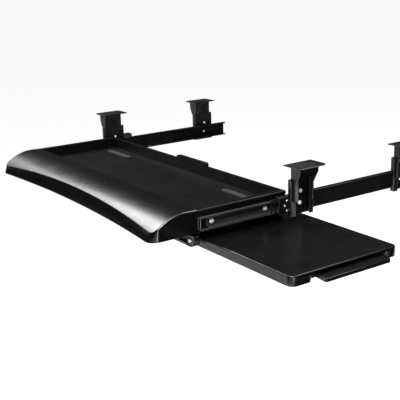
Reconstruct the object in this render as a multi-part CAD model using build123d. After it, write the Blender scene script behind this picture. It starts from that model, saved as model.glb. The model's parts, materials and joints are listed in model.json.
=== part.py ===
from build123d import *
import math
import os

os.makedirs("parts", exist_ok=True)

# Under-desk keyboard tray with a sliding mouse tray, millimetres.
# X runs to the right, Y runs towards the back of the desk, Z is up.
# The row origin is the centre of the desk screw pattern on the desk's underside.
# The geometry is laid out from a working datum: X = 0 on the tray's centre line,
# Y = 0 just behind the palm rest, Z = 0 38 mm below the desk's underside.

# ---------------------------------------------------------------- dimensions
desk_z = 38.0            # desk underside above the datum
front_y = 176.9          # centre of the front feet
rear_y = 396.9           # centre of the rear feet
channel_off = 5.7        # the hanger's channel stands beside the middle of its foot;
                         # left and right hangers are the same part, turned half round
origin_y = (front_y + rear_y) / 2.0

# keyboard tray
tray_half = 267.2        # half width over the rim
rim_top = -5.5
rim_t = 3.0
rim_round = 2.2
rim_half_in = 255.6      # half width of the opening
wall_out = 265.6         # outer face of the side walls, where the slides sit
wall_t = 2.5
tray_front = 3.0
tray_back = 166.0
back_rim = 8.0           # width of the back rim
floor_top = -23.5
floor_t = 2.5
tray_bottom = -39.5

# palm rest: plan and height of its front edge, x in hundreds of mm
front_bottom_y, front_bottom_k = -60.6, 2.17
crease_back = 6.0        # the crease lies this far behind the bottom edge
crease_z, crease_k = -16.6, 1.5
palm_back_z = -5.0
palm_corner_r = 15.0
palm_t = 2.8

# slides, 27 mm ball bearing type, 10 mm thick
slide_z = -25.2
slide_len = 300.0
outer_y0 = 144.0
inner_y0 = 4.2
slide_thick = 10.0
slide_half = 13.5        # half height of the outer member
inner_half = 9.0         # half height of the inner member
slide_t = 1.3
ball_r = 1.55
ball_off = 10.6          # ball centre above and below the slide's middle
cage_y0, cage_len = 130.6, 140.0
slide_out = wall_out + slide_thick

# hangers
sheet = 1.5
drop_half = 22.6         # half width of the drop bracket along Y
drop_top, drop_bottom = 13.5, -42.5
drop_tip = 283.8         # edge of its upper flanges
drop_lip_x = 284.6       # outer face of its lower lips
drop_lip_top = -20.6
drop_lip_w = 9.0
tongue_half, tongue_top = 12.0, 35.0
desk_half = drop_half - sheet - 2.5   # half width of the desk bracket along Y
desk_web = slide_out + sheet + 0.3
desk_tip = 287.5
desk_bend = 2.2          # outside radius of the bend into the lips
lip_w = 7.2
desk_bracket_bottom = -20.0
lip_top = 15.0
flare_tip = 298.2
flare_start = 1.0
hanger_screw_r = 3.4
foot_tip = 314.0
foot_half = 27.0
foot_hole_x = 300.0
foot_hole_dy = 11.0
foot_hole_r = 2.5
height_screw_z = (-6.0,)
height_travel = 13.0
carry_screw_z = -25.2

# mouse tray
mouse_right = 455.4
mouse_left = 202.6
mouse_y0, mouse_y1 = 13.0, 203.5
mouse_top = -50.0
mouse_bottom = -64.2
mouse_plate = 3.0
mouse_skirt = 2.5
mouse_corner = 9.5
lip_out = 473.0
lip_z0, lip_z1 = -61.7, -56.9

# cross rails under the tray
rail_t = 1.2
front_rail_y = -5.0
front_rail_bottom = -58.0
front_rail_depth = 14.0
rear_rail_y = 160.0
rear_rail_bottom = -48.5
rear_rail_depth = 13.0
rail_half = 262.0
lip_y, lip_h = -8.2, 4.0  # forward lip of the front rail: front face and height
lip_end = 252.0
stop_screw_x, stop_screw_z = 259.5, -50.0


# ------------------------------------------------------------------- helpers
def box(x0, x1, y0, y1, z0, z1):
    return Pos((x0 + x1) / 2, (y0 + y1) / 2, (z0 + z1) / 2) * Box(x1 - x0, y1 - y0, z1 - z0)


def cyl_x(x0, x1, y, z, r):
    return Pos((x0 + x1) / 2, y, z) * Rot(0, 90, 0) * Cylinder(r, x1 - x0)


def cyl_y(y0, y1, x, z, r):
    return Pos(x, (y0 + y1) / 2, z) * Rot(90, 0, 0) * Cylinder(r, y1 - y0)


def cyl_z(z0, z1, x, y, r):
    return Pos(x, y, (z0 + z1) / 2) * Cylinder(r, z1 - z0)


def slab(points, z0, z1):
    face = make_face(Polyline(*[(x, y, z0) for x, y in points], close=True))
    return extrude(face, z1 - z0, dir=(0, 0, 1))


def prism_y(points, y0, y1):
    face = make_face(Polyline(*[(x, y0, z) for x, z in points], close=True))
    return extrude(face, y1 - y0, dir=(0, 1, 0))


def prism_x(points, x0, x1):
    face = make_face(Polyline(*[(x0, y, z) for y, z in points], close=True))
    return extrude(face, x1 - x0, dir=(1, 0, 0))


def flip(shape):
    return mirror(shape, about=Plane.YZ)


def solids_of(shape):
    return list(shape.solids())


def group(*shapes):
    found = []
    for shape in shapes:
        if isinstance(shape, (list, tuple)):
            for one in shape:
                found += solids_of(one)
        else:
            found += solids_of(shape)
    return Compound(children=found)


def dome_pin(r_head, h_head, r_shank, length, flat=0.0):
    """Turned pin: a domed head standing on z = 0 and a shank below it."""
    top = flat * r_head
    rise = 0.62 * h_head
    edges = [
        Edge.make_line((0, 0, -length), (r_shank, 0, -length)),
        Edge.make_line((r_shank, 0, -length), (r_shank, 0, 0)),
        Edge.make_line((r_shank, 0, 0), (r_head, 0, 0)),
        Edge.make_line((r_head, 0, 0), (r_head, 0, 0.25 * h_head)),
        Edge.make_three_point_arc(
            (r_head, 0, 0.25 * h_head),
            (top + (r_head - top) * 0.66, 0, 0.25 * h_head + rise * 0.80),
            (top, 0, h_head),
        ),
    ]
    if top > 0:
        edges.append(Edge.make_line((top, 0, h_head), (0, 0, h_head)))
    edges.append(Edge.make_line((0, 0, h_head), (0, 0, -length)))
    return revolve(Face(Wire(edges)), Axis.Z)


def screw(r_head, h_head, r_shank, length):
    """Pan head with a cross recess above z = 0, shank below."""
    body = dome_pin(r_head, h_head, r_shank, length, 0.3)
    arm = Box(r_head * 1.0, r_head * 0.26, h_head)
    cross = Pos(0, 0, h_head * 0.95) * (arm + Rot(0, 0, 90) * arm)
    return body - cross


made = {}


def keep(name, shape):
    if isinstance(shape, Compound) and len(solids_of(shape)) > 1:
        out = Compound(children=solids_of(shape))
    else:
        out = solids_of(shape)[0]
    out = out.moved(Location((0, -origin_y, -desk_z)))
    made[name] = out
    export_step(out, os.path.join("parts", name + ".step"))


def both(stem, shape):
    keep(stem + "_right", shape)
    keep(stem + "_left", flip(shape))


# ------------------------------------------------------------- desk brackets
def upright(x0, x1, y0, y1, z0, z1, r_web, r_tip):
    """Upright block whose corners are rounded differently at the web and at the tips."""
    body = slab([(x0, y0), (x1, y0), (x1, y1), (x0, y1)], z0, z1)
    body = fillet(body.edges().filter_by(Axis.Z).group_by(Axis.X)[0], r_web)
    if r_tip:
        body = fillet(body.edges().filter_by(Axis.Z).group_by(Axis.X)[-1], r_tip)
    return body


def desk_bracket(foot_cy, off):
    """Lipped channel under the desk with a foot that turns outwards."""
    cy = foot_cy + off
    y0, y1 = cy - desk_half, cy + desk_half
    z0 = desk_bracket_bottom
    outer = upright(desk_web, desk_tip, y0, y1, z0, lip_top, 2.0, desk_bend)
    inner = upright(
        desk_web + sheet, desk_tip - sheet, y0 + sheet, y1 - sheet, z0 - 1, lip_top + 1, 0.5, desk_bend - sheet
    )
    mouth = box(desk_tip - sheet - 1, desk_tip + 1, y0 + lip_w, y1 - lip_w, z0 - 1, lip_top + 1)
    channel = outer - inner - mouth
    # plain channel from the lips up to the foot, with flared gussets
    web = box(desk_web, desk_web + sheet, y0 + 2.0, y1 - 2.0, lip_top - 1, desk_z - sheet / 2)
    flat_end = desk_tip - desk_bend
    gusset_wire = Wire(
        [
            Edge.make_line((desk_web + 2.0, y0, flare_start), (flat_end, y0, flare_start)),
            Edge.make_three_point_arc((flat_end, y0, flare_start), (flat_end + 5.6, y0, 11.6), (flare_tip, y0, 24.5)),
            Edge.make_line((flare_tip, y0, 24.5), (flare_tip, y0, desk_z - sheet / 2)),
            Edge.make_line((flare_tip, y0, desk_z - sheet / 2), (desk_web + 2.0, y0, desk_z - sheet / 2)),
            Edge.make_line((desk_web + 2.0, y0, desk_z - sheet / 2), (desk_web + 2.0, y0, flare_start)),
        ]
    )
    gusset = extrude(Face(gusset_wire), sheet, dir=(0, 1, 0))
    # the round of the upright corners carried up to the foot
    post = upright(desk_web, desk_web + 4, y0, y1, lip_top - 1, desk_z - sheet / 2, 2.0, 0)
    post = post - box(desk_web + sheet, desk_web + 5, y0 + sheet, y1 - sheet, lip_top - 2, desk_z + 1)
    rear_gusset = Pos(0, y1 - y0 - sheet, 0) * gusset
    fy0, fy1 = foot_cy - foot_half, foot_cy + foot_half
    foot = slab([(desk_web, fy0), (foot_tip, fy0), (foot_tip, fy1), (desk_web, fy1)], desk_z - sheet, desk_z)
    foot = fillet(foot.edges().filter_by(Axis.Z).group_by(Axis.X)[-1], 7.0)
    body = channel + web + post + gusset + rear_gusset + foot
    for dy in (-foot_hole_dy, foot_hole_dy):
        body = body - cyl_z(desk_z - 5, desk_z + 5, foot_hole_x, foot_cy + dy, foot_hole_r)
    for z in height_screw_z:
        body = body - cyl_x(desk_web - 5, desk_web + sheet + 0.5, cy, z, 2.05)
    return body


for place, foot_cy in (("front", front_y), ("rear", rear_y)):
    keep("desk_bracket_" + place + "_right", desk_bracket(foot_cy, channel_off))
    keep("desk_bracket_" + place + "_left", flip(desk_bracket(foot_cy, -channel_off)))


# ------------------------------------------------------------- drop brackets
def drop_bracket(cy):
    """Channel that carries the slide; lips at its lower end, a slotted tongue on top."""
    y0, y1 = cy - drop_half, cy + drop_half
    x0 = slide_out
    low = upright(x0, drop_lip_x, y0, y1, drop_bottom, drop_lip_top, 2.0, 2.6)
    low = low - upright(
        x0 + sheet, drop_lip_x - sheet, y0 + sheet, y1 - sheet, drop_bottom - 1, drop_lip_top + 1, 0.5, 1.1
    )
    low = low - box(drop_lip_x - sheet - 1, drop_lip_x + 1, y0 + drop_lip_w, y1 - drop_lip_w, drop_bottom - 1, drop_lip_top + 1)
    high = upright(x0, drop_tip, y0, y1, drop_lip_top, drop_top, 2.0, 0)
    high = high - box(x0 + sheet, drop_tip + 1, y0 + sheet, y1 - sheet, drop_lip_top - 1, drop_top + 1)
    # rounded upper tips of the two flanges
    tips = high.edges().filter_by(Axis.Y).group_by(Axis.X)[-1].group_by(Axis.Z)[-1]
    high = fillet(tips, 3.2)
    tongue = box(x0, x0 + sheet, cy - tongue_half, cy + tongue_half, drop_top - 2.0, tongue_top)
    tongue = fillet(tongue.edges().filter_by(Axis.X).group_by(Axis.Z)[-1], 5.0)
    body = low + high + tongue
    for z in height_screw_z:
        body = body - box(x0 - 1, x0 + sheet + 1, cy - 2.3, cy + 2.3, z, z + height_travel)
        for end in (z, z + height_travel):
            body = body - cyl_x(x0 - 1, x0 + sheet + 1, cy, end, 2.3)
    body = body - cyl_x(x0 - 1, x0 + sheet + 1, cy, carry_screw_z, 2.05)
    return body


for place, foot_cy in (("front", front_y), ("rear", rear_y)):
    keep("drop_bracket_" + place + "_right", drop_bracket(foot_cy + channel_off))
    keep("drop_bracket_" + place + "_left", flip(drop_bracket(foot_cy - channel_off)))

# height screws stay with the desk brackets, their nuts behind the slotted webs
height_screws = []
height_nuts = []
carry_screws = []


def on_side(side, shape):
    return shape if side > 0 else flip(shape)


nut_x1 = slide_out - 0.3
for foot_cy in (front_y, rear_y):
    for side in (1, -1):
        cy = foot_cy + side * channel_off
        for z in height_screw_z:
            s = screw(hanger_screw_r, 2.4, 2.0, 7.4)
            height_screws.append(on_side(side, Pos(desk_web + sheet, cy, z) * Rot(0, 90, 0) * s))
            hexagon = extrude(RegularPolygon(7.0 / math.sqrt(3), 6), 3.0)
            nut = Pos(nut_x1 - 3.0, cy, z) * Rot(0, 90, 0) * hexagon
            nut = nut - cyl_x(nut_x1 - 4, nut_x1 + 1, cy, z, 2.05)
            height_nuts.append(on_side(side, nut))
        c = screw(hanger_screw_r, 2.4, 2.0, sheet + slide_t)
        carry_screws.append(on_side(side, Pos(slide_out + sheet, cy, carry_screw_z) * Rot(0, 90, 0) * c))
keep("height_screws", group(height_screws))
keep("height_nuts", group(height_nuts))
keep("slide_carry_screws", group(carry_screws))


# -------------------------------------------------------------------- slides
def z_sym(x0, x1, y0, y1, za, zb):
    """The same bar above and below the middle of the slide."""
    return [
        box(x0, x1, y0, y1, slide_z + za, slide_z + zb),
        box(x0, x1, y0, y1, slide_z - zb, slide_z - za),
    ]


u0 = wall_out
oy0, oy1 = outer_y0, outer_y0 + slide_len
outer = box(slide_out - slide_t, slide_out, oy0, oy1, slide_z - slide_half, slide_z + slide_half)
for b in z_sym(u0 + 1.3, slide_out, oy0, oy1, slide_half - slide_t, slide_half):
    outer = outer + b
for b in z_sym(u0 + 1.3, u0 + 2.5, oy0, oy1, slide_half - 2.6, slide_half):
    outer = outer + b
outer = fillet(outer.edges().filter_by(Axis.Y).group_by(Axis.X)[-1], 1.0)
# holes for both hands of hanger
for cy in (front_y - channel_off, front_y + channel_off, rear_y - channel_off, rear_y + channel_off):
    outer = outer - cyl_x(slide_out - slide_t - 1, slide_out + 1, cy, carry_screw_z, 2.05)
both("slide_outer", outer)

iy0, iy1 = inner_y0, inner_y0 + slide_len
inner = box(u0, u0 + slide_t, iy0, iy1, slide_z - inner_half, slide_z + inner_half)
for b in z_sym(u0, u0 + 7.3, iy0, iy1, inner_half - slide_t, inner_half):
    inner = inner + b
for b in z_sym(u0 + 6.1, u0 + 7.3, iy0, iy1, inner_half - slide_t, inner_half + 0.9):
    inner = inner + b
inner = fillet(inner.edges().filter_by(Axis.Y).group_by(Axis.X)[0], 0.6)
inner_screw_y = (26.7, 124.0)
for y in inner_screw_y:
    inner = inner - cyl_x(u0 - 1, u0 + slide_t + 1, y, slide_z, 1.9)
# raised stop tab near the front of the cage, pressed out of the web
inner = inner + box(u0 + slide_t - 0.2, u0 + 2.6, 300.0, 303.0, slide_z - 5, slide_z + 5)
both("slide_inner", inner)

# ball cage: two strips joined by bridges at the ends
cy0, cy1 = cage_y0, cage_y0 + cage_len
cage = None
for b in z_sym(u0 + 2.9, u0 + 8.3, cy0, cy1, ball_off - 0.3, ball_off + 0.3):
    cage = b if cage is None else cage + b
for a, b in ((cy0, cy0 + 1.6), (cy0 + 6.6, cy0 + 9.0), (cy1 - 13, cy1)):
    cage = cage + box(u0 + 7.7, u0 + 8.3, a, b, slide_z - ball_off - 0.3, slide_z + ball_off + 0.3)
ball_u = u0 + 4.4
ball_ys = [cy0 + 17 + i * (cage_len - 23) / 7 for i in range(8)]
balls = []
for y in ball_ys:
    for s in (-1, 1):
        z = slide_z + s * ball_off
        cage = cage - cyl_z(z - 2, z + 2, ball_u, y, ball_r + 0.1)
        balls.append(Pos(ball_u, y, z) * Sphere(ball_r))
both("ball_cage", cage)
keep("slide_balls_right", group(balls))
keep("slide_balls_left", group([flip(b) for b in balls]))

# plastic piece in the front end of each inner member, with two slots
end_piece = box(u0 + slide_t, u0 + 6.4, iy0 + 0.3, iy0 + 13.5, slide_z - inner_half + slide_t + 0.1, slide_z + inner_half - slide_t - 0.1)
end_piece = fillet(end_piece.edges().filter_by(Axis.X), 1.2)
for dz in (-3.6, 0.8):
    end_piece = end_piece - box(u0 + 4.2, u0 + 7, iy0 + 2.4, iy0 + 11.4, slide_z + dz, slide_z + dz + 2.8)
both("slide_front_piece", end_piece)

# end plate at the mouth of each outer member, riveted on and cut off short of the hanger
plate_x1 = slide_out + 1.0
rivets = []


def end_plate(side, y1, spots):
    plate = box(slide_out, plate_x1, 143.2, y1, slide_z - slide_half + 0.2, slide_z + slide_half - 0.2)
    plate = fillet(plate.edges().filter_by(Axis.X).group_by(Axis.Y)[0], 1.2)
    for y, z in spots:
        plate = plate - cyl_x(slide_out - 1, plate_x1 + 1, y, z, 0.9)
        rivets.append(on_side(side, Pos(plate_x1, y, z) * Rot(0, 90, 0) * dome_pin(1.6, 1.0, 0.9, 1.0, 0.2)))
    return on_side(side, plate)


keep("slide_end_plate_right", end_plate(1, 159.8, ((154.2, slide_z - 0.7), (158.0, slide_z + 7.0), (158.0, slide_z - 8.6))))
keep("slide_end_plate_left", end_plate(-1, 148.3, ((145.8, slide_z + 6.0), (145.8, slide_z - 6.0))))
keep("end_plate_rivets", group(rivets))

# rubber bumper on the top edge of each outer member, behind the front hanger
b0, b1 = 188.9, 207.0
bumper = box(u0 + 1.9, slide_out - 0.3, b0, b1, slide_z + slide_half, -3.0)
bumper = fillet(bumper.edges().filter_by(Axis.X).group_by(Axis.Z)[-1], 4.0)
both("slide_bumper", bumper)

# ------------------------------------------------------------- keyboard tray
rim = box(-tray_half, tray_half, tray_front, tray_back, rim_top - 4.5, rim_top)
rim = fillet(rim.edges().filter_by(Axis.Z).group_by(Axis.Y)[-1], 2.8)
rim = fillet(rim.faces().sort_by(Axis.Z)[-1].edges().filter_by(lambda e: e.center().Y > tray_front + 0.1), rim_round)
# the turned-down edge stands proud of the plate's underside
rim = rim - box(-tray_half + 1.8, tray_half - 1.8, tray_front - 1, tray_back - 1.8, -60, rim_top - rim_t)
tray = rim - box(-rim_half_in, rim_half_in, tray_front - 1, tray_back - back_rim, -60, 10)
walls = box(-wall_out, wall_out, tray_front, tray_back - 1.6, tray_bottom, rim_top - 1)
walls = walls - box(-wall_out + wall_t, wall_out - wall_t, tray_front + 2.5, tray_back - 1.6 - wall_t, -60, 10)
tray = tray + (walls - box(-rim_half_in, rim_half_in, 0, tray_back - back_rim, floor_top - 2, 10))
# inner walls of the well and its floor
well = box(-rim_half_in - 2.4, rim_half_in + 2.4, tray_front, tray_back - back_rim + 2.4, floor_top - floor_t, rim_top - 1)
well = well - box(-rim_half_in, rim_half_in, tray_front - 1, tray_back - back_rim, floor_top, 10)
tray = tray + well
# low front wall of the well, behind the palm rest
tray = tray + box(-rim_half_in - 2.4, rim_half_in + 2.4, tray_front, tray_front + 2.5, tray_bottom, -9.0)
tray = tray + box(-wall_out, -rim_half_in, tray_front, tray_front + 2.5, tray_bottom, rim_top - 1)
tray = tray + box(rim_half_in, wall_out, tray_front, tray_front + 2.5, tray_bottom, rim_top - 1)
# fine groove along both side rims
for s in (-1, 1):
    tray = tray - box(*sorted((s * 262.1, s * 262.9)), tray_front - 1, tray_back - 9.0, rim_top - 0.7, rim_top + 1)
# ribs under the floor
for x in (-213, -160, -107, -53.5, 0, 53.5, 107, 160, 213):
    tray = tray + box(x - 1, x + 1, tray_front + 2, tray_back - 3.5, tray_bottom + 1.0, floor_top - floor_t + 0.2)
for y in (55.0, 108.0):
    tray = tray + box(-wall_out + 2, wall_out - 2, y - 1, y + 1, tray_bottom + 1.0, floor_top - floor_t + 0.2)
# pads under the floor that the rear cross rail is screwed to
rear_boss_x = (-235, -80, 80, 235)
for x in rear_boss_x:
    tray = tray + box(x - 9, x + 9, rear_rail_y - 13, rear_rail_y + 2, tray_bottom, floor_top - floor_t + 0.2)
# bosses behind the side walls for the slide screws
for y in inner_screw_y:
    for s in (-1, 1):
        tray = tray + cyl_x(*sorted((s * (rim_half_in + 1.5), s * (wall_out - 1))), y, slide_z, 4.6)


def plan_block(inset, back, z0, z1, r, extra=0.0):
    """Plan of the palm rest, moved inwards by inset: a shallow parabola in front."""
    half = tray_half - inset
    bow = front_bottom_k * (half / 100.0) ** 2
    mid = front_bottom_y + inset - extra
    front = Bezier((-half, mid - bow, z0), (0, mid + bow, z0), (half, mid - bow, z0))
    wire = Wire(
        [
            front,
            Edge.make_line((half, mid - bow, z0), (half, back, z0)),
            Edge.make_line((half, back, z0), (-half, back, z0)),
            Edge.make_line((-half, back, z0), (-half, mid - bow, z0)),
        ]
    )
    block = extrude(Face(wire), z1 - z0, dir=(0, 0, 1))
    picked = [e for e in block.edges().filter_by(Axis.Z) if e.center().Y < -40]
    return fillet(picked, r)


# tongue that closes the palm rest from below and carries its screws
tongue = plan_block(palm_t + 1.6, tray_front + 1.0, tray_bottom, tray_bottom + 2.5, palm_corner_r - palm_t - 1.3)
tray = tray + tongue
palm_boss = [(-225, -28), (-112, -22), (0, -20), (112, -22), (225, -28)]
for x, y in palm_boss:
    tray = tray - cyl_z(tray_bottom - 1, tray_bottom + 3.5, x, y, 1.95)
for y in inner_screw_y:
    for s in (-1, 1):
        tray = tray - cyl_x(*sorted((s * (rim_half_in + 3.0), s * (wall_out + 1))), y, slide_z, 1.9)
front_rail_x = (-235, -118, 0, 118, 235)
for x in front_rail_x:
    tray = tray - cyl_z(tray_bottom - 1, tray_bottom + 2.0, x, 6.0 - 4.5, 1.5)
for x in rear_boss_x:
    tray = tray - cyl_z(tray_bottom - 1, tray_bottom + 8.0, x, rear_rail_y - 6.5, 1.5)
keep("keyboard_tray", tray)

# rubber strips on the floor of the well
pads = []
for x in (-190, 190):
    for y in (28, 132):
        p = box(x - 40, x + 40, y - 6, y + 6, floor_top, floor_top + 1.5)
        p = fillet(p.edges().filter_by(Axis.Z), 5.9)
        pads.append(p)
keep("anti_slip_pads", group(pads))

# stop for the back of the keyboard, on the back rim
stop = box(-25.5, 64.5, tray_back - back_rim + 0.5, tray_back - 0.5, rim_top, 0.4)
stop = fillet(stop.edges().filter_by(Axis.Y).group_by(Axis.Z)[-1].sort_by(Axis.X)[0], 5.0)
stop = fillet(stop.edges().filter_by(Axis.Y).group_by(Axis.Z)[-1].sort_by(Axis.X)[-1], 1.5)
keep("keyboard_stop", stop)

# screws of the inner members
tray_screws = []
for y in inner_screw_y:
    s = screw(4.0, 2.3, 1.9, 8.0)
    placed = Pos(u0 + slide_t, y, slide_z) * Rot(0, 90, 0) * s
    tray_screws += [placed, flip(placed)]
keep("tray_slide_screws", group(tray_screws))


# ----------------------------------------------------------------- palm rest
# top profile from the back edge to the crease, as shares of its run and drop
top_shape = ((0.0, 0.0), (0.221, 0.003), (0.398, -0.149), (0.569, 0.098), (0.822, 0.405), (1.0, 1.0))
palm_back = tray_front - 0.1


def row_points(j_run, j_drop, half, back, top, crease_y0, crease_z0):
    """Control points across the width for one row of the top surface."""
    bow_y = front_bottom_k * (half / 100.0) ** 2
    bow_z = crease_k * (half / 100.0) ** 2
    pts = []
    for x, sign in ((-half, 1), (0, -1), (half, 1)):
        yc = crease_y0 - sign * bow_y
        zc = crease_z0 - sign * bow_z
        pts.append((x, back + j_run * (yc - back), top - j_drop * (top - zc)))
    return pts


def palm_solid(inset, bottom):
    half = tray_half - inset
    back = palm_back - inset
    top = palm_back_z - inset
    cy0_ = front_bottom_y + crease_back + inset * 1.12
    cz0_ = crease_z - inset * 0.95
    rows = [row_points(r, d, half, back, top, cy0_, cz0_) for r, d in top_shape]
    bow = front_bottom_k * (half / 100.0) ** 2
    yb = front_bottom_y + inset
    foot = [(-half, yb - bow, bottom), (0, yb + bow, bottom), (half, yb - bow, bottom)]
    top_face = Face.make_bezier_surface([[Vector(*p) for p in row] for row in rows])
    front_face = Face.make_bezier_surface([[Vector(*p) for p in rows[-1]], [Vector(*p) for p in foot]])
    back_face = Face(Wire.make_polygon([rows[0][0], rows[0][2], (half, back, bottom), (-half, back, bottom)]))
    bottom_face = Face(
        Wire(
            [
                Bezier(*foot),
                Edge.make_line(foot[2], (half, back, bottom)),
                Edge.make_line((half, back, bottom), (-half, back, bottom)),
                Edge.make_line((-half, back, bottom), foot[0]),
            ]
        )
    )
    ends = []
    for i in (0, 2):
        ends.append(
            Face(
                Wire(
                    [
                        Bezier(*[row[i] for row in rows]),
                        Edge.make_line(rows[-1][i], foot[i]),
                        Edge.make_line(foot[i], (foot[i][0], back, bottom)),
                        Edge.make_line((foot[i][0], back, bottom), rows[0][i]),
                    ]
                )
            )
        )
    solid = Solid(Shell([top_face, front_face, back_face, bottom_face] + ends))
    print("palm solid", inset, round(solid.volume), solid.is_valid)
    return solid


palm_outer = palm_solid(0.0, tray_bottom)
palm_outer = palm_outer & plan_block(0.0, tray_front + 5, tray_bottom - 5, 5, palm_corner_r, 0.4)
palm_inner = palm_solid(palm_t, tray_bottom - 1.0)
palm_inner = palm_inner & plan_block(palm_t, tray_front + 5, tray_bottom - 5, 5, palm_corner_r - palm_t, 0.4)
palm = palm_outer - palm_inner
# the back wall stops above the tongue
palm = palm - box(-264, 264, -4, tray_front + 1, tray_bottom - 1, tray_bottom + 2.7)


def under_top(x, y):
    """Height of the top surface at (x, y)."""
    t = x / 100.0
    yc = front_bottom_y + crease_back - front_bottom_k * t * t
    zc = crease_z - crease_k * t * t
    best = None
    for i in range(201):
        a = i / 200
        run = drop = 0.0
        for k, (r, d) in enumerate(top_shape):
            w = math.comb(5, k) * (1 - a) ** (5 - k) * a**k
            run += w * r
            drop += w * d
        yy = palm_back + run * (yc - palm_back)
        zz = palm_back_z - drop * (palm_back_z - zc)
        if best is None or abs(yy - y) < best[0]:
            best = (abs(yy - y), zz)
    return best[1]


palm_screws = []
for x, y in palm_boss:
    z1 = under_top(x, y) - 1.4
    boss = cyl_z(tray_bottom + 2.5, z1, x, y, 4.2) - cyl_z(tray_bottom + 2.0, tray_bottom + 11.5, x, y, 1.95)
    palm = palm + boss
    s = screw(3.6, 2.0, 1.9, 11.0)
    placed = Pos(x, y, tray_bottom) * Rot(180, 0, 0) * s
    palm_screws.append(placed)
# stiffening ribs across the hollow
for x in (-170, -57, 57, 170):
    rib = box(x - 0.9, x + 0.9, -62, tray_front - 1, tray_bottom + 14.0, 0)
    palm = palm + (rib & palm_inner)
keep("palm_rest", palm)
keep("palm_rest_screws", group(palm_screws))

# --------------------------------------------------------------- cross rails
fy = front_rail_y
front_rail = box(-rail_half, rail_half, fy, fy + rail_t, front_rail_bottom, tray_bottom)
front_rail = front_rail + box(-rail_half, rail_half, fy, fy + front_rail_depth, tray_bottom - rail_t, tray_bottom)
front_rail = front_rail + box(-rail_half, rail_half, fy, fy + front_rail_depth, front_rail_bottom, front_rail_bottom + rail_t)
# forward lip along the lower edge, up to the end stops
front_rail = front_rail + box(-lip_end, lip_end, lip_y, fy + 0.2, front_rail_bottom, front_rail_bottom + rail_t)
front_rail = front_rail + box(-lip_end, lip_end, lip_y, lip_y + rail_t, front_rail_bottom, front_rail_bottom + lip_h)
front_rail = fillet(front_rail.edges().filter_by(Axis.X).group_by(Axis.Y)[0], 0.5)
for side in (-1, 1):
    front_rail = front_rail - cyl_y(fy - 1, fy + rail_t + 1, side * stop_screw_x, stop_screw_z, 1.7)
rail_screws = []
for x in front_rail_x:
    front_rail = front_rail - cyl_z(tray_bottom - 3, tray_bottom + 1, x, 1.5, 1.5)
    s = screw(2.9, 1.6, 1.5, 3.0)
    rail_screws.append(Pos(x, 1.5, tray_bottom - rail_t) * Rot(180, 0, 0) * s)
keep("guide_rail_front", front_rail)

ry = rear_rail_y
rear_rail = box(-rail_half, rail_half, ry - rail_t, ry, rear_rail_bottom, tray_bottom)
rear_rail = rear_rail + box(-rail_half, rail_half, ry - rear_rail_depth, ry, tray_bottom - rail_t, tray_bottom)
rear_rail = rear_rail + box(-rail_half, rail_half, ry - rear_rail_depth, ry, rear_rail_bottom, rear_rail_bottom + rail_t)
rear_rail = fillet(rear_rail.edges().filter_by(Axis.X).group_by(Axis.Y)[-1], 1.0)
for x in rear_boss_x:
    rear_rail = rear_rail - cyl_z(tray_bottom - 3, tray_bottom + 1, x, ry - 6.5, 1.5)
    s = screw(2.9, 1.6, 1.5, 8.0)
    rail_screws.append(Pos(x, ry - 6.5, tray_bottom - rail_t) * Rot(180, 0, 0) * s)
keep("guide_rail_rear", rear_rail)
keep("guide_rail_screws", group(rail_screws))

# end stops: shallow cups that close the front rail, and short plugs in the rear one
def stop_outline(inset, low, x0, y0, y1):
    """Outline of the cup in X and Z, moved inwards by inset, as a block along Y."""
    zt, zb = -41.5 - inset, front_rail_bottom + low
    slope = 9.5 / 16.5
    x_at = lambda z: 275.5 - inset * 1.15 - (-41.5 - z) * slope
    body = prism_y([(x0, zt), (x_at(zt), zt), (x_at(zb), zb), (x0, zb)], y0, y1)
    edges = body.edges().filter_by(Axis.Y).filter_by(lambda e: e.center().X > x0 + 1)
    body = fillet(edges.group_by(Axis.Z)[-1], 4.5 - inset)
    edges = body.edges().filter_by(Axis.Y).filter_by(lambda e: e.center().X > x0 + 1).group_by(Axis.Z)[0]
    return fillet(edges, 3.5 - inset)


def front_cap():
    x0 = lip_end + 0.2
    cup = stop_outline(0.0, 0.0, x0, lip_y, fy)
    cup = cup - stop_outline(1.4, lip_h, x0 - 3, lip_y - 1, fy - 1.0)
    nose = stop_outline(0.0, 0.0, x0, fy - 0.1, nose_back) & box(rail_half, 300, fy - 0.1, nose_back, -80, 0)
    plug = box(lip_end + 0.5, rail_half, fy + rail_t, fy + front_rail_depth - 1.0, front_rail_bottom + rail_t, tray_bottom - rail_t)
    nose = nose + box(rail_half - 0.05, rail_half + 1.5, fy + rail_t, fy + front_rail_depth - 1.0, front_rail_bottom + rail_t, tray_bottom - rail_t - 1.0)
    cap = cup + nose + plug
    # the open pocket of the nose is as deep as the nose itself
    pocket = stop_outline(1.4, lip_h, x0 - 3, lip_y - 1, nose_back - 1.4)
    cap = cap - (pocket & box(rail_half + 1.6, 300, lip_y - 1, nose_back, -80, 0))
    return cap - cyl_y(fy - 4, fy + 11.5, stop_screw_x, stop_screw_z, 1.65)


nose_back = 2.0
cap = front_cap()
cap_screw = Pos(stop_screw_x, fy - 1.0, stop_screw_z) * Rot(90, 0, 0) * screw(3.6, 2.0, 1.6, 11.0)
both("guide_end_stop_front", cap)
rear_plug = box(rail_half - 9, rail_half + 2.5, ry - rear_rail_depth + 1, ry - rail_t, rear_rail_bottom + rail_t, tray_bottom - rail_t)
rear_plug = rear_plug + box(rail_half, rail_half + 2.5, ry - rear_rail_depth, ry, rear_rail_bottom + 0.2, tray_bottom - 0.2)
both("guide_end_stop_rear", rear_plug)
keep("end_stop_screws", group(cap_screw, flip(cap_screw)))

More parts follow.
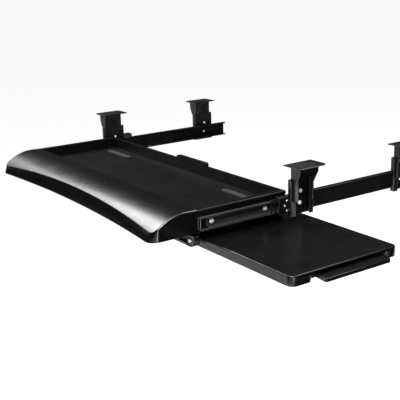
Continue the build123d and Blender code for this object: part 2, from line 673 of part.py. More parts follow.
# -------------------------------------------------------------- mouse tray
mx0, mx1, my0, my1 = mouse_left, mouse_right, mouse_y0, mouse_y1
mouse = box(mx0, mx1, my0, my1, mouse_bottom, mouse_top)
mouse = fillet(mouse.edges().filter_by(Axis.Z), mouse_corner)
cavity = box(mx0 + mouse_skirt, mx1 - mouse_skirt, my0 + mouse_skirt, my1 - mouse_skirt, mouse_bottom - 1, mouse_top - mouse_plate)
cavity = fillet(cavity.edges().filter_by(Axis.Z), mouse_corner - mouse_skirt)
mouse = fillet(mouse.faces().sort_by(Axis.Z)[-1].edges(), 1.7)
mouse = mouse - cavity
# finger pull: a pocket in the right-hand skirt with a ledge below it
pocket = slab(
    [(mx1 + 5, 42.0), (mx1 - 0.6, 44.2), (mx1 - 2.2, 46.8), (446.0, 55.0), (446.0, 182.0), (mx1 + 5, 188.0)],
    mouse_bottom - 1,
    mouse_top - mouse_plate,
)
mouse = mouse - pocket
pull_wall = slab(
    [(mx1 - mouse_skirt - 0.6, 41.0), (mx1 - 1.2, 42.2), (mx1 - 0.6, 44.2), (mx1 - 2.2, 46.8), (446.0, 55.0), (446.0, 182.0), (mx1 - 0.2, 187.1), (mx1 - mouse_skirt - 0.6, 189.0), (443.5, 183.2), (443.5, 53.8)],
    mouse_bottom,
    mouse_top - mouse_plate + 0.2,
)
mouse = mouse + pull_wall
ledge = slab(
    [(445.0, 58.0), (454.0, 57.2), (lip_out - 2.0, 54.6), (lip_out, 56.4), (lip_out, 169.4), (lip_out - 2.0, 171.4), (456.6, 177.0), (445.0, 178.5)],
    lip_z0,
    lip_z1,
)
ledge = fillet(ledge.edges().group_by(Axis.Z)[-1].filter_by(Axis.Y).sort_by(Axis.X)[-1], 1.2)
mouse = mouse + ledge
# ribs under the plate
for x in (250.0, 300.0, 350.0, 400.0):
    mouse = mouse + box(x - 0.9, x + 0.9, my0 + 1.5, my1 - 1.5, mouse_bottom + 2.0, mouse_top - mouse_plate + 0.2)
for y in (60.0, 106.0, 152.0):
    mouse = mouse + box(mx0 + 1.5, 444.5, y - 0.9, y + 0.9, mouse_bottom + 2.0, mouse_top - mouse_plate + 0.2)
runner_x = (216.0, 238.0)
for x in runner_x:
    for y in (30.0, 124.0):
        mouse = mouse + cyl_z(mouse_bottom + 2.0, mouse_top - mouse_plate + 0.2, x, y, 4.0)
        mouse = mouse - cyl_z(mouse_bottom + 3.5, mouse_top + 1, x, y, 1.6)
keep("mouse_tray", mouse)

# runners: steel strips on the hidden end of the mouse tray that reach into the rails
rx0, rx1 = 208.0, 252.0
rs = 1.5
front_runner = box(rx0, rx1, 0.5, 42.0, mouse_top, mouse_top + rs)
rear_runner = box(rx0, rx1, 112.0, 139.5, mouse_top, mouse_top + rs)
rear_runner = rear_runner + box(rx0, rx1, 138.0, 139.5, mouse_top, -44.0)
rear_runner = rear_runner + box(rx0, rx1, 138.0, 156.5, -45.5, -44.0)
runner_screws = []
for x in runner_x:
    for y in (30.0, 124.0):
        hole = cyl_z(mouse_top - 1, mouse_top + rs + 1, x, y, 1.6)
        if y < 60:
            front_runner = front_runner - hole
        else:
            rear_runner = rear_runner - hole
        s = screw(3.2, 1.7, 1.6, 8.5)
        runner_screws.append(Pos(x, y, mouse_top + rs) * s)
keep("mouse_runner_front", front_runner)
keep("mouse_runner_rear", rear_runner)
keep("runner_screws", group(runner_screws))

# plastic glides on the runner tips
gx0, gx1 = rx0 + 0.7, rx1 + 0.2
glide_f = box(gx0, gx1, fy + rail_t + 0.4, fy + front_rail_depth - 1.6, front_rail_bottom + rail_t + 0.3, tray_bottom - rail_t - 0.3)
glide_f = fillet(glide_f.edges().filter_by(Axis.Y), 2.0)
glide_f = glide_f - box(rx0, rx1, 0.5, 20, mouse_top, mouse_top + rs)
glide_f = glide_f - box(gx0 - 1, gx1 + 1, -2.2, 5.2, tray_bottom - rail_t - 2.3, tray_bottom)
keep("mouse_glide_front", glide_f)
glide_r = box(gx0, gx1, ry - rear_rail_depth + 1.2, ry - rail_t - 0.4, rear_rail_bottom + rail_t + 0.3, tray_bottom - rail_t - 0.3)
glide_r = fillet(glide_r.edges().filter_by(Axis.Y), 1.5)
glide_r = glide_r - box(rx0, rx1, 140, 156.5, -45.5, -44.0)
glide_r = glide_r - box(gx0 - 1, gx1 + 1, ry - 10.0, ry - 3.0, tray_bottom - rail_t - 2.1, tray_bottom)
keep("mouse_glide_rear", glide_r)

low = [1e9] * 3
high = [-1e9] * 3
for name, shape in made.items():
    bb = shape.bounding_box()
    for i, (a, b) in enumerate(zip(tuple(bb.min), tuple(bb.max))):
        low[i] = min(low[i], a)
        high[i] = max(high[i], b)
print(len(made), "nodes; box", [round(v, 1) for v in low], [round(v, 1) for v in high])
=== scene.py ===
import bpy
import bmesh
import json
import math
from mathutils import Matrix, Vector


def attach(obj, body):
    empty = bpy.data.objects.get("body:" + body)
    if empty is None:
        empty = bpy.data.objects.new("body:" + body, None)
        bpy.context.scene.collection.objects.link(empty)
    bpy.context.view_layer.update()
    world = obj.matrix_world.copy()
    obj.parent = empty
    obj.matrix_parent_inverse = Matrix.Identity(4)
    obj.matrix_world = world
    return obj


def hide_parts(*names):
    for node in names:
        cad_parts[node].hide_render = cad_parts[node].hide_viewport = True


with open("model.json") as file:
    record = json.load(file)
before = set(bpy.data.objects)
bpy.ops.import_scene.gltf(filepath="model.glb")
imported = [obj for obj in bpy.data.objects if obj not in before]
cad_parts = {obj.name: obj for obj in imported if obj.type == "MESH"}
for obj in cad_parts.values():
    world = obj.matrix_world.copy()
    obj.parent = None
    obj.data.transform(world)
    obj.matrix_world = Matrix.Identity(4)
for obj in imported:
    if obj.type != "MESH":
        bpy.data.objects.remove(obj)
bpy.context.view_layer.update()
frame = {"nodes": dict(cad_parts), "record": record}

# ---------------------------------------------------------------- camera
az, el, roll = math.radians(55.837), math.radians(16.053), math.radians(-1.662)
d = Vector((-math.sin(az) * math.cos(el), math.cos(az) * math.cos(el), -math.sin(el)))
r = Vector((math.cos(az), math.sin(az), 0.0))
u = r.cross(d)
r2 = r * math.cos(roll) + u * math.sin(roll)
u2 = -r * math.sin(roll) + u * math.cos(roll)
cam_data = bpy.data.cameras.new("camera")
cam_data.lens = 73.329
cam_data.sensor_width = 36.0
cam_data.sensor_fit = "AUTO"
cam_data.clip_start = 0.05
cam_data.clip_end = 200.0
cam = bpy.data.objects.new("camera", cam_data)
bpy.context.scene.collection.objects.link(cam)
rot = Matrix((r2, u2, -d)).transposed().to_4x4()
cam.matrix_world = Matrix.Translation(Vector((1.16904, -0.89082, 0.284385))) @ rot
bpy.context.scene.camera = cam

# ------------------------------------------------------------- dimensions
# metres, in the row frame: working datum moved by (0, -286.9, -38) mm
OY, OZ = -286.9, -38.0


def P(x, y, z):
    """Datum millimetres to row metres."""
    return Vector((x / 1000.0, (y + OY) / 1000.0, (z + OZ) / 1000.0))


TRAY_HALF = 267.2
FRONT_Y, FRONT_K = -60.6, 2.17
CREASE_BACK, CREASE_Z, CREASE_K = 6.0, -16.6, 1.5
PALM_BACK_Y, PALM_BACK_Z, BOTTOM = 2.9, -5.0, -39.5
TOP_SHAPE = ((0.0, 0.0), (0.221, 0.003), (0.398, -0.149), (0.569, 0.098), (0.822, 0.405), (1.0, 1.0))
BINOM = (1, 5, 10, 10, 5, 1)


# --------------------------------------------------------------- materials
def new_mat(name):
    m = bpy.data.materials.new(name)
    m.use_nodes = True
    nt = m.node_tree
    nt.nodes.clear()
    out = nt.nodes.new("ShaderNodeOutputMaterial")
    bsdf = nt.nodes.new("ShaderNodeBsdfPrincipled")
    nt.links.new(bsdf.outputs[0], out.inputs[0])
    return m, nt, bsdf


def tex_coord(nt):
    return nt.nodes.new("ShaderNodeTexCoord").outputs["Object"]


def noise(nt, vec, scale, detail=2.0, rough=0.5):
    n = nt.nodes.new("ShaderNodeTexNoise")
    n.inputs["Scale"].default_value = scale
    n.inputs["Detail"].default_value = detail
    n.inputs["Roughness"].default_value = rough
    nt.links.new(vec, n.inputs["Vector"])
    return n.outputs["Fac"]


def remap(nt, value, a, b, c, d_):
    n = nt.nodes.new("ShaderNodeMapRange")
    n.inputs[1].default_value = a
    n.inputs[2].default_value = b
    n.inputs[3].default_value = c
    n.inputs[4].default_value = d_
    nt.links.new(value, n.inputs[0])
    return n.outputs[0]


def mix_color(nt, fac, ca, cb):
    n = nt.nodes.new("ShaderNodeMix")
    n.data_type = "RGBA"
    n.inputs["A"].default_value = ca
    n.inputs["B"].default_value = cb
    nt.links.new(fac, n.inputs["Factor"])
    return n.outputs["Result"]


def bump(nt, bsdf, height, distance, strength, below=None):
    n = nt.nodes.new("ShaderNodeBump")
    n.inputs["Distance"].default_value = distance
    n.inputs["Strength"].default_value = strength
    nt.links.new(height, n.inputs["Height"])
    if below is not None:
        nt.links.new(below, n.inputs["Normal"])
    nt.links.new(n.outputs[0], bsdf.inputs["Normal"])
    return n.outputs[0]


def plastic_two(*args):
    """Plastic whose upright walls are smoother than its top."""
    m = plastic(*args)
    nt = m.node_tree
    b = next(n for n in nt.nodes if n.type == "BSDF_PRINCIPLED")
    top = b.inputs["Roughness"].links[0].from_socket
    geo = nt.nodes.new("ShaderNodeNewGeometry")
    sep = nt.nodes.new("ShaderNodeSeparateXYZ")
    nt.links.new(geo.outputs["Normal"], sep.inputs[0])
    mul = nt.nodes.new("ShaderNodeMath")
    mul.operation = "MULTIPLY"
    nt.links.new(top, mul.inputs[0])
    nt.links.new(remap(nt, sep.outputs["Z"], 0.34, 0.52, 0.62, 1.0), mul.inputs[1])
    nt.links.new(mul.outputs[0], b.inputs["Roughness"])
    return m


def edge_mask(nt, vec, reach, front_only=False):
    """1 on outer edges, patchy; with front_only just on edges that turn to the front. Used as the mask for edge wear
    and for painted edge highlights.
    """
    bev = nt.nodes.new("ShaderNodeBevel")
    bev.samples = 4
    bev.inputs["Radius"].default_value = reach
    geo = nt.nodes.new("ShaderNodeNewGeometry")
    dot = nt.nodes.new("ShaderNodeVectorMath")
    dot.operation = "DOT_PRODUCT"
    nt.links.new(bev.outputs[0], dot.inputs[0])
    nt.links.new(geo.outputs["True Normal"], dot.inputs[1])
    edge = remap(nt, dot.outputs["Value"], 0.995, 0.86, 0.0, 1.0)
    if front_only:
        side = nt.nodes.new("ShaderNodeSeparateXYZ")
        nt.links.new(bev.outputs[0], side.inputs[0])
        turn = remap(nt, side.outputs["Y"], -0.25, -0.6, 0.0, 1.0)
        both = nt.nodes.new("ShaderNodeMath")
        both.operation = "MULTIPLY"
        nt.links.new(edge, both.inputs[0])
        nt.links.new(turn, both.inputs[1])
        edge = both.outputs[0]
    patch = remap(nt, noise(nt, vec, 70.0, 4.0, 0.6), 0.35, 0.6, 0.45, 1.0)
    mul = nt.nodes.new("ShaderNodeMath")
    mul.operation = "MULTIPLY"
    nt.links.new(edge, mul.inputs[0])
    nt.links.new(patch, mul.inputs[1])
    return mul.outputs[0]


def plastic(
    name, base, rough, spread, grain_scale, grain, smudge=0.0, coat=0.0, coat_rough=0.1, spec=0.5, front_edge_highlight=0.0, reach=0.0008
):
    m, nt, b = new_mat(name)
    vec = tex_coord(nt)
    tone = noise(nt, vec, 9.0, 3.0)
    dark = tuple(c * 0.86 for c in base) + (1.0,)
    lite = tuple(c * 1.16 for c in base) + (1.0,)
    color = mix_color(nt, tone, dark, lite)
    # painted highlight: edges that turn to the front are painted paler
    if front_edge_highlight:
        n = nt.nodes.new("ShaderNodeMix")
        n.data_type = "RGBA"
        nt.links.new(edge_mask(nt, vec, reach, True), n.inputs["Factor"])
        nt.links.new(color, n.inputs["A"])
        n.inputs["B"].default_value = (front_edge_highlight, front_edge_highlight, front_edge_highlight, 1.0)
        color = n.outputs["Result"]
    nt.links.new(color, b.inputs["Base Color"])
    wear = noise(nt, vec, 26.0, 5.0, 0.62)
    nt.links.new(remap(nt, wear, 0.3, 0.7, rough - spread, rough + spread), b.inputs["Roughness"])
    b.inputs["Specular IOR Level"].default_value = spec
    b.inputs["Coat Weight"].default_value = coat
    b.inputs["Coat Roughness"].default_value = coat_rough
    g = noise(nt, vec, grain_scale, 2.0, 0.6)
    first = bump(nt, b, g, 0.00004, grain)
    if smudge:
        s = noise(nt, vec, 14.0, 2.0)
        bump(nt, b, s, 0.0006, smudge, first)
    return m


def coated_steel(name, base, rough, grain, edge_wear_and_highlight=0.055, reach=0.0007, spec=0.6, shade_behind=None, painted_flange_tone=0.0, painted_lip_tone=0.0):
    m, nt, b = new_mat(name)
    vec = tex_coord(nt)
    tone = noise(nt, vec, 30.0, 4.0)
    dark = tuple(c * 0.8 for c in base) + (1.0,)
    lite = tuple(c * 1.25 for c in base) + (1.0,)
    paint = mix_color(nt, tone, dark, lite)
    if painted_flange_tone:
        # painted highlight: the outer flanges of the front hangers are painted a little paler than the webs, and the
        # front lips paler still
        sep = nt.nodes.new("ShaderNodeSeparateXYZ")
        nt.links.new(vec, sep.inputs[0])
        away = nt.nodes.new("ShaderNodeMath")
        away.operation = "ABSOLUTE"
        nt.links.new(sep.outputs["X"], away.inputs[0])
        flange_paint_mix = nt.nodes.new("ShaderNodeMix")
        flange_paint_mix.data_type = "RGBA"
        rear = remap(nt, sep.outputs["Y"], -0.1000, -0.1040, 0.2, 1.0)
        near = nt.nodes.new("ShaderNodeMath")
        near.operation = "MULTIPLY"
        nt.links.new(remap(nt, away.outputs[0], 0.2800, 0.2830, 0.0, 1.0), near.inputs[0])
        nt.links.new(rear, near.inputs[1])
        nt.links.new(near.outputs[0], flange_paint_mix.inputs["Factor"])
        nt.links.new(paint, flange_paint_mix.inputs["A"])
        flange_paint_mix.inputs["B"].default_value = (painted_flange_tone, painted_flange_tone, painted_flange_tone * 1.02, 1.0)
        geo = nt.nodes.new("ShaderNodeNewGeometry")
        turn = nt.nodes.new("ShaderNodeSeparateXYZ")
        nt.links.new(geo.outputs["Normal"], turn.inputs[0])
        facing = nt.nodes.new("ShaderNodeMath")
        facing.operation = "ABSOLUTE"
        nt.links.new(turn.outputs["X"], facing.inputs[0])
        first = nt.nodes.new("ShaderNodeMath")
        first.operation = "MULTIPLY"
        nt.links.new(remap(nt, facing.outputs[0], 0.88, 0.98, 0.0, 1.0), first.inputs[0])
        nt.links.new(remap(nt, away.outputs[0], 0.2840, 0.2870, 0.5, 1.0), first.inputs[1])
        second = nt.nodes.new("ShaderNodeMath")
        second.operation = "MULTIPLY"
        nt.links.new(first.outputs[0], second.inputs[0])
        edge_on = nt.nodes.new("ShaderNodeMath")
        edge_on.operation = "MULTIPLY"
        nt.links.new(remap(nt, away.outputs[0], 0.2832, 0.2840, 0.0, 1.0), edge_on.inputs[0])
        nt.links.new(remap(nt, sep.outputs["Y"], -0.1000, -0.1040, 0.0, 1.0), edge_on.inputs[1])
        nt.links.new(edge_on.outputs[0], second.inputs[1])
        lip_paint_mix = nt.nodes.new("ShaderNodeMix")
        lip_paint_mix.data_type = "RGBA"
        nt.links.new(second.outputs[0], lip_paint_mix.inputs["Factor"])
        nt.links.new(flange_paint_mix.outputs["Result"], lip_paint_mix.inputs["A"])
        lip_paint_mix.inputs["B"].default_value = (painted_lip_tone, painted_lip_tone, painted_lip_tone * 1.01, 1.0)
        paint = lip_paint_mix.outputs["Result"]
    # the sheet's edges are paler: partly the coat rubbed thin, partly a painted highlight along the edges
    rubbed_and_lit_edges = edge_mask(nt, vec, reach)
    n = nt.nodes.new("ShaderNodeMix")
    n.data_type = "RGBA"
    nt.links.new(rubbed_and_lit_edges, n.inputs["Factor"])
    nt.links.new(paint, n.inputs["A"])
    n.inputs["B"].default_value = (edge_wear_and_highlight, edge_wear_and_highlight, edge_wear_and_highlight * 1.03, 1.0)
    nt.links.new(n.outputs["Result"], b.inputs["Base Color"])
    wear = noise(nt, vec, 60.0, 5.0, 0.6)
    nt.links.new(remap(nt, wear, 0.3, 0.7, rough - 0.07, rough + 0.07), b.inputs["Roughness"])
    b.inputs["Specular IOR Level"].default_value = spec
    if shade_behind is not None:
        # painted shade: the reflection is turned down further back than the given Y, over the rail's recess
        sep = nt.nodes.new("ShaderNodeSeparateXYZ")
        nt.links.new(vec, sep.inputs[0])
        nt.links.new(
            remap(nt, sep.outputs["Y"], shade_behind - 0.0003, shade_behind + 0.0003, spec, 0.06),
            b.inputs["Specular IOR Level"],
        )
    g = noise(nt, vec, 900.0, 3.0, 0.55)
    bump(nt, b, g, 0.00006, grain)
    return m


def metal(name, base, rough, spread, stretch=None, metallic=1.0):
    m, nt, b = new_mat(name)
    vec = tex_coord(nt)
    if stretch:
        mp = nt.nodes.new("ShaderNodeMapping")
        mp.inputs["Scale"].default_value = stretch
        nt.links.new(vec, mp.inputs["Vector"])
        vec = mp.outputs[0]
    b.inputs["Metallic"].default_value = metallic
    tone = noise(nt, vec, 120.0, 4.0)
    dark = tuple(c * 0.82 for c in base) + (1.0,)
    lite = tuple(min(1.0, c * 1.1) for c in base) + (1.0,)
    nt.links.new(mix_color(nt, tone, dark, lite), b.inputs["Base Color"])
    w = noise(nt, vec, 400.0, 4.0, 0.6)
    nt.links.new(remap(nt, w, 0.3, 0.7, rough - spread, rough + spread), b.inputs["Roughness"])
    bump(nt, b, w, 0.00003, 0.3)
    return m


palm_mat = plastic_two("palm_plastic", (0.0020, 0.0020, 0.0021), 0.28, 0.025, 2600.0, 0.12)
tray_mat = plastic("tray_plastic", (0.0020, 0.0020, 0.0021), 0.40, 0.04, 1500.0, 0.5, spec=0.22)
# the mouse tray and the end stops carry a painted highlight along their front edges; the end stops' low specular level
# is painted shade over their recess
mouse_mat = plastic("mouse_plastic", (0.0016, 0.0016, 0.0017), 0.29, 0.03, 1700.0, 0.35, spec=0.42, front_edge_highlight=0.10, reach=0.0012)
stop_mat = plastic("stop_plastic", (0.0016, 0.0016, 0.0017), 0.50, 0.05, 1500.0, 0.5, spec=0.10, front_edge_highlight=0.60, reach=0.0010)
steel_mat = coated_steel("black_steel", (0.0050, 0.0050, 0.0054), 0.38, 0.35)
slide_mat = coated_steel("slide_steel", (0.0040, 0.0040, 0.0042), 0.38, 0.25, 0.12, spec=0.17)
inner_mat = coated_steel("slide_steel_inner", (0.0270, 0.0270, 0.0276), 0.34, 0.25, 0.12, spec=0.45)
# painted shade: a darker, duller copy of the slide steel for the left-hand slides, which the desk shades
shaded_slide_mat = coated_steel("slide_steel_shaded", (0.0015, 0.0015, 0.0016), 0.42, 0.25, 0.02, spec=0.10)
# the hangers' outer flanges and front lips carry a painted highlight
bracket_mat = coated_steel("bracket_steel", (0.0026, 0.0026, 0.0028), 0.36, 0.30, 0.10, spec=0.45, painted_flange_tone=0.009, painted_lip_tone=0.12)
# the rail's recess behind its front lip gets painted shade
rail_mat = coated_steel("rail_steel", (0.0030, 0.0030, 0.0032), 0.36, 0.30, 0.10, shade_behind=(-7.2 + OY) / 1000.0)
zinc_mat = metal("zinc_plate", (0.96, 0.96, 0.97), 0.26, 0.05, metallic=0.35)
cage_mat = metal("cage_steel", (0.10, 0.10, 0.105), 0.36, 0.08, (1.0, 0.1, 1.0))
ball_mat = metal("bearing_steel", (0.82, 0.82, 0.84), 0.10, 0.03)
rubber_mat = plastic("black_rubber", (0.0045, 0.0045, 0.0045), 0.68, 0.06, 1100.0, 0.8)
glide_mat = plastic("glide_plastic", (0.70, 0.69, 0.66), 0.42, 0.04, 900.0, 0.4)
BY_SLOT = {
    "palm_plastic": palm_mat,
    "tray_plastic": tray_mat,
    "mouse_plastic": mouse_mat,
    "stop_plastic": stop_mat,
    "black_steel": steel_mat,
    "zinc_plate": zinc_mat,
    "cage_steel": cage_mat,
    "bearing_steel": ball_mat,
    "black_rubber": rubber_mat,
    "glide_plastic": glide_mat,
}
slot_of = {s["node"]: s["material_slot"] for s in frame["record"]["subparts"]}
for name, ob in frame["nodes"].items():
    m = BY_SLOT[slot_of[name]]
    # the left-hand slides get the painted-shade copy of the slide steel
    if name in ("slide_inner_left", "slide_outer_left"):
        m = shaded_slide_mat
    elif name.startswith("slide_inner"):
        m = inner_mat
    elif name.startswith(("slide_outer", "slide_end_plate")):
        m = slide_mat
    elif name.startswith(("desk_bracket", "drop_bracket")):
        m = bracket_mat
    elif name == "guide_rail_front":
        m = rail_mat
    ob.data.materials.clear()
    ob.data.materials.append(m)


# ------------------------------------------------- edges of the CAD pieces
def soften(name, width, segments=2, angle=32.0):
    """Small rounded edges on a CAD piece; its own mesh stays as it is."""
    ob = frame["nodes"][name]
    w = ob.modifiers.new("weld", "WELD")
    w.merge_threshold = 0.00001
    b = ob.modifiers.new("edges", "BEVEL")
    b.width = width
    b.segments = segments
    b.limit_method = "ANGLE"
    b.angle_limit = math.radians(angle)
    b.use_clamp_overlap = True
    b.harden_normals = True
    b.miter_outer = "MITER_ARC"
    return ob


for name, width in (
    ("keyboard_tray", 0.0005),
    ("mouse_tray", 0.0005),
    ("keyboard_stop", 0.0004),
    ("guide_end_stop_front_right", 0.0004),
    ("guide_end_stop_front_left", 0.0004),
    ("guide_end_stop_rear_right", 0.0003),
    ("guide_end_stop_rear_left", 0.0003),
):
    soften(name, width)
for name in frame["nodes"]:
    if slot_of[name] == "black_steel" and "slide" not in name:
        soften(name, 0.00025, 2)
    elif slot_of[name] == "black_steel":
        soften(name, 0.0002, 2)


# ---------------------------------------------------------------- palm rest
def shape_at(a):
    run = drop = 0.0
    for k, (rr, dd) in enumerate(TOP_SHAPE):
        w = BINOM[k] * (1 - a) ** (5 - k) * a**k
        run += w * rr
        drop += w * dd
    return run, drop


TABLE = [shape_at(i / 400) for i in range(401)]


def drop_for(run):
    if run <= 0:
        return 0.0
    if run >= 1:
        a, b = TABLE[-2], TABLE[-1]
        return b[1] + (run - 1) * (b[1] - a[1]) / (b[0] - a[0])
    lo_i, hi_i = 0, 400
    while hi_i - lo_i > 1:
        mid = (lo_i + hi_i) // 2
        if TABLE[mid][0] <= run:
            lo_i = mid
        else:
            hi_i = mid
    a, b = TABLE[lo_i], TABLE[hi_i]
    return a[1] + (run - a[0]) / (b[0] - a[0]) * (b[1] - a[1])


def top_z(x, y):
    t = x / 100.0
    yc = FRONT_Y + CREASE_BACK - FRONT_K * t * t
    zc = CREASE_Z - CREASE_K * t * t
    run = (y - PALM_BACK_Y) / (yc - PALM_BACK_Y)
    return PALM_BACK_Z - drop_for(run) * (PALM_BACK_Z - zc)


def palm_rest():
    half, R = TRAY_HALF - 0.05, 15.0
    # right half of the outline, from the back edge round to the middle of the front
    side_end = FRONT_Y - FRONT_K * (half / 100) ** 2 + R + 0.8
    n_side, n_arc, n_front = 26, 16, 70
    pts = []
    for i in range(n_side):
        f = i / n_side
        pts.append((half, PALM_BACK_Y + f * (side_end - PALM_BACK_Y), 1.0, 0.0))
    # corner arc, meeting the bowed front squarely
    cx = half - R
    slope = -2 * FRONT_K / 100 * cx / 100  # dy/dx of the front near the corner
    turn = math.radians(90) - math.atan(-slope)
    cy = None
    # centre of the arc so that it is tangent to the front curve
    for _ in range(30):
        ex = cx + R * math.cos(-turn) if cy is None else ex
        nx, ny = math.sin(math.atan(slope)), -math.cos(math.atan(slope))
        ex = cx + R * -nx * -1
        slope = -2 * FRONT_K * ex / 10000.0
        nx, ny = math.sin(math.atan(slope)), -math.cos(math.atan(slope))
        ey = FRONT_Y - FRONT_K * (ex / 100) ** 2
        cy = ey - R * ny
        ex = cx + R * nx
    ang_end = math.atan2(ny, nx)
    for i in range(n_arc + 1):
        a = ang_end * i / n_arc
        pts.append((cx + R * math.cos(a), cy + R * math.sin(a), math.cos(a), math.sin(a)))
    # side points end where the arc starts
    pts[:n_side] = [(half, PALM_BACK_Y + (i / n_side) * (cy - PALM_BACK_Y), 1.0, 0.0) for i in range(n_side)]
    ex, ey = pts[-1][0], pts[-1][1]
    for i in range(1, n_front + 1):
        x = ex * (1 - i / n_front)
        y = FRONT_Y - FRONT_K * (x / 100) ** 2
        s = -2 * FRONT_K * x / 10000.0
        k = math.hypot(1, s)
        pts.append((x, y, s / k, -1 / k))
    right = pts
    left = [(-x, y, -nx, ny) for x, y, nx, ny in reversed(right[:-1])]
    ring = right + left
    n = len(ring)
    mid_arc = n_side + n_arc // 2

    # profile from the bottom of the wall up over the rounded crease
    FR = 3.2
    prof = []
    crease_inner = []
    for x, y, nx, ny in ring:
        front = max(0.0, -ny)
        c = 0.5 + (CREASE_BACK - 0.5) * front**2.0
        cxp, cyp = x - nx * c, y - ny * c
        cz = top_z(cxp, cyp)
        hgt = cz - BOTTOM
        down = Vector((c, -hgt)).normalized()  # in (outward, up)
        step = 0.8
        zi = top_z(cxp - nx * step, cyp - ny * step)
        inward = Vector((-step, zi - cz)).normalized()
        cosphi = down.dot(inward)
        phi = math.acos(max(-1, min(1, cosphi)))
        L = FR / math.tan(phi / 2)
        A = Vector((0, cz)) + down * L
        B = Vector((0, cz)) + inward * L
        bis = (down + inward).normalized()
        C = Vector((0, cz)) + bis * (FR / math.sin(phi / 2))
        rows = []
        # small round at the lower edge, then the wall
        out0 = c
        rows.append((out0 - 1.2, BOTTOM))
        rows.append((out0 - 0.35 - 0.0, BOTTOM + 0.10))
        rows.append((out0 - 0.06 - c * 0.35 / hgt, BOTTOM + 0.55))
        for f in (0.12, 0.3, 0.5, 0.7, 0.88):
            w0 = Vector((c - c * 1.3 / hgt, BOTTOM + 1.3))
            g = (f - 0.12) / 0.76 * 0.92
            q = w0 + (A - w0) * g
            # the wall is slightly full in the middle
            rows.append((q.x + 0.9 * front * math.sin(math.pi * g), q.y))
        a0 = math.atan2(A.y - C.y, A.x - C.x)
        a1 = math.atan2(B.y - C.y, B.x - C.x)
        if a1 < a0:
            a1 += 2 * math.pi
        for i in range(9):
            a = a0 + (a1 - a0) * i / 8
            rows.append((C.x + FR * math.cos(a), C.y + FR * math.sin(a)))
        col = []
        for o, z in rows:
            col.append((cxp + nx * o, cyp + ny * o, z))
        prof.append(col)
        crease_inner.append((cxp + nx * B.x, cyp + ny * B.x, nx, ny))

    bm = bmesh.new()
    cols = []
    for col in prof:
        cols.append([bm.verts.new(P(*q)) for q in col])
    # further rings inwards over the top, up to where the corner closes
    for off in (1.2, 2.6, 4.2, 5.6):
        for k, (x, y, nx, ny) in enumerate(crease_inner):
            xx, yy = x - nx * off, y - ny * off
            yy = min(yy, PALM_BACK_Y)
            cols[k].append(bm.verts.new(P(xx, yy, top_z(xx, yy))))
    for k in range(n - 1):
        for j in range(len(cols[k]) - 1):
            bm.faces.new((cols[k][j], cols[k + 1][j], cols[k + 1][j + 1], cols[k][j + 1]))

    # the middle of the top: a grid filled in between the rings and the back edge
    inner = [c[-1] for c in cols]
    co = [(v.co.x * 1000, v.co.y * 1000 - OY) for v in inner]
    kl = n - 1 - mid_arc
    right_side = list(range(0, mid_arc + 1))
    front_line = list(range(mid_arc, kl + 1))
    left_side = list(range(n - 1, kl - 1, -1))
    nrow, ncol = len(right_side), len(front_line)
    assert len(left_side) == nrow
    back_r, back_l = co[0], co[-1]
    grid = [[None] * ncol for _ in range(nrow)]
    for i in range(nrow):
        fi = i / (nrow - 1)
        for j in range(ncol):
            fj = j / (ncol - 1)
            if i == nrow - 1:
                grid[i][j] = inner[front_line[j]]
                continue
            if j == 0:
                grid[i][j] = inner[right_side[i]]
                continue
            if j == ncol - 1:
                grid[i][j] = inner[left_side[i]]
                continue
            # arc-length shares along the two long sides
            fx, fy = co[front_line[j]]
            f0, f1 = co[front_line[0]], co[front_line[-1]]
            share = (f0[0] - fx) / (f0[0] - f1[0])
            bx = back_r[0] + (back_l[0] - back_r[0]) * share
            rx, ry = co[right_side[i]]
            lx, ly = co[left_side[i]]
            down_share = (back_r[1] - ry) / (back_r[1] - f0[1])
            x_line = bx + (fx - bx) * down_share
            y_line = back_r[1] + (fy - back_r[1]) * down_share
            # Coons patch
            top_b = (bx, back_r[1])
            ruled_v = (top_b[0] + (fx - top_b[0]) * down_share, top_b[1] + (fy - top_b[1]) * down_share)
            ruled_h = (rx + (lx - rx) * share, ry + (ly - ry) * share)
            c00, c10, c01, c11 = back_r, back_l, f0, f1
            bil = (
                (1 - down_share) * ((1 - share) * c00[0] + share * c10[0]) + down_share * ((1 - share) * c01[0] + share * c11[0]),
                (1 - down_share) * ((1 - share) * c00[1] + share * c10[1]) + down_share * ((1 - share) * c01[1] + share * c11[1]),
            )
            xx = ruled_v[0] + ruled_h[0] - bil[0]
            yy = ruled_v[1] + ruled_h[1] - bil[1]
            yy = min(yy, PALM_BACK_Y)
            grid[i][j] = bm.verts.new(P(xx, yy, top_z(xx, yy)))
    for i in range(nrow - 1):
        for j in range(ncol - 1):
            bm.faces.new((grid[i][j], grid[i + 1][j], grid[i + 1][j + 1], grid[i][j + 1]))

    # lower lip, underside and back
    lip = []
    for k, (x, y, nx, ny) in enumerate(ring):
        ins = 3.4
        xx, yy = x - nx * ins, min(y - ny * ins, PALM_BACK_Y)
        lip.append((bm.verts.new(P(xx, yy, BOTTOM)), bm.verts.new(P(xx, yy, BOTTOM + 2.7))))
    for k in range(n - 1):
        bm.faces.new((cols[k][0], lip[k][0], lip[k + 1][0], cols[k + 1][0]))
        bm.faces.new((lip[k][0], lip[k][1], lip[k + 1][1], lip[k + 1][0]))
    back_top = grid[0]
    seam = [lip[0][1]] + [lip[k][1] for k in range(1, n)]
    bm.faces.new(seam)
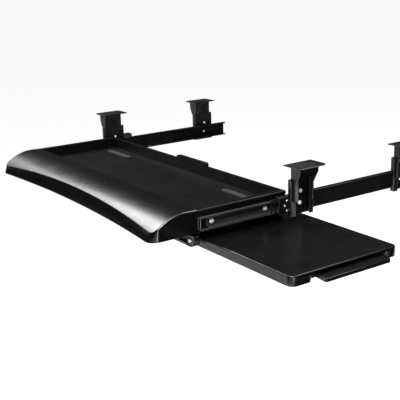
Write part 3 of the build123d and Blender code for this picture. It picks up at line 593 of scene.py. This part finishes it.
    # back wall: end profiles run down both sides, top edge across
    right_end = [lip[0][1], lip[0][0]] + cols[0]
    left_end = list(reversed(cols[-1])) + [lip[-1][0], lip[-1][1]]
    loop = right_end + list(back_top[1:-1]) + left_end
    clean = []
    for v in loop:
        if v not in clean:
            clean.append(v)
    bm.faces.new(clean)
    bmesh.ops.recalc_face_normals(bm, faces=bm.faces)
    me = bpy.data.meshes.new("palm_rest_shell")
    bm.to_mesh(me)
    bm.free()
    me.shade_smooth()
    me.set_sharp_from_angle(angle=math.radians(50))
    me.materials.append(palm_mat)
    ob = bpy.data.objects.new("palm_rest_shell", me)
    bpy.context.scene.collection.objects.link(ob)
    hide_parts("palm_rest")
    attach(ob, "keyboard_tray")
    return ob


palm = palm_rest()

# -------------------------------------------------------------------- stage
me = bpy.data.meshes.new("floor")
s = 60.0
z0 = -0.72
me.from_pydata([(-s, -s, z0), (s, -s, z0), (s, s, z0), (-s, s, z0)], [], [(0, 1, 2, 3)])
floor = bpy.data.objects.new("floor", me)
bpy.context.scene.collection.objects.link(floor)
fm, fnt, fb = new_mat("floor_paint")
fb.inputs["Base Color"].default_value = (0.86, 0.86, 0.86, 1)
fb.inputs["Roughness"].default_value = 0.9
me.materials.append(fm)


def area(name, pos, target, sx, sy, power):
    l = bpy.data.lights.new(name, "AREA")
    l.shape = "RECTANGLE"
    l.size, l.size_y = sx, sy
    l.energy = power
    o = bpy.data.objects.new(name, l)
    bpy.context.scene.collection.objects.link(o)
    o.location = pos
    o.rotation_euler = (Vector(target) - Vector(pos)).to_track_quat("-Z", "Y").to_euler()
    return o


def sun(name, direction, strength, angle):
    l = bpy.data.lights.new(name, "SUN")
    l.energy = strength
    l.angle = math.radians(angle)
    o = bpy.data.objects.new(name, l)
    bpy.context.scene.collection.objects.link(o)
    o.rotation_euler = Vector(direction).to_track_quat("-Z", "Y").to_euler()
    return o


# dark screen outside the view on the right, which keeps the right-hand faces dark
def screen(name, corners, tone):
    me = bpy.data.meshes.new(name)
    me.from_pydata(corners, [], [(0, 1, 2, 3)])
    ob = bpy.data.objects.new(name, me)
    bpy.context.scene.collection.objects.link(ob)
    m, nt, b = new_mat(name + "_cloth")
    b.inputs["Base Color"].default_value = (tone, tone, tone, 1)
    b.inputs["Roughness"].default_value = 1.0
    b.inputs["Specular IOR Level"].default_value = 0.0
    me.materials.append(m)
    ob.visible_camera = False


screen("right_screen", [(0.82, -0.25, -0.719), (0.82, 2.6, -0.719), (0.82, 2.6, 0.45), (0.82, -0.25, 0.45)], 0.03)
# and one on the left, clear of the floor, that darkens the upper part of the front
screen("front_screen", [(-0.56, -1.77, -0.24), (-1.43, -0.61, -0.36), (-1.43, -0.61, 0.30), (-0.56, -1.77, 0.30)], 0.02)

screen("corner_screen", [(0.70, -1.16, -0.70), (0.05, -1.06, -0.70), (0.05, -1.06, -0.12), (0.70, -1.16, -0.12)], 0.02)

area("left_box", (-1.5, -0.75, 1.15), (0.0, -0.32, -0.05), 1.1, 1.1, 20.0)
area("near_box", (-0.75, -0.50, 0.75), (0.25, -0.36, -0.06), 0.5, 0.4, 7.0)
area("edge_box", (0.35, 0.65, 1.25), (0.25, -0.1, -0.06), 1.2, 0.5, 16.0)
# soft light from low over the tray that only the hangers catch
kb = area("hanger_glow", (0.03, -0.207, -0.046), (0.03, -0.207, 1.0), 0.46, 0.13, 0.25)
lit = bpy.data.collections.new("hangers_lit")
for name, ob in frame["nodes"].items():
    if name.startswith(("desk_bracket", "drop_bracket")):
        lit.objects.link(ob)
kb.light_linking.receiver_collection = lit
kb.visible_camera = False
side = area("side_glow", (0.945, -0.559, -0.20), (0.29, -0.10, -0.03), 0.75, 0.5, 3.0)
side.light_linking.receiver_collection = lit
side.visible_camera = False
# a small bright card that only the hangers' screws reflect
pins = bpy.data.collections.new("hanger_screws_lit")
for name in ("height_screws", "slide_carry_screws"):
    pins.objects.link(frame["nodes"][name])
card = area("screw_card", (0.80, -0.80, 0.10), (0.28, -0.10, -0.05), 0.30, 0.30, 5.0)
card.light_linking.receiver_collection = pins
card.visible_camera = False
area("side_box", (1.12, -0.42, -0.25), (0.29, -0.10, -0.03), 0.20, 0.35, 1.6)
area("pin_box", (0.75, -0.55, 0.75), (0.27, -0.2, -0.06), 0.25, 0.25, 14.0)
sun("overhead", (0.1, 0.15, -1.0), 3.6, 40.0)

world = bpy.data.worlds.new("studio")
bpy.context.scene.world = world
world.use_nodes = True
bg = world.node_tree.nodes["Background"]
bg.inputs[0].default_value = (1, 1, 1, 1)
bg.inputs[1].default_value = 0.02

# plain display: the pale floor reads as white, black stays black
bpy.context.scene.view_settings.view_transform = "Standard"
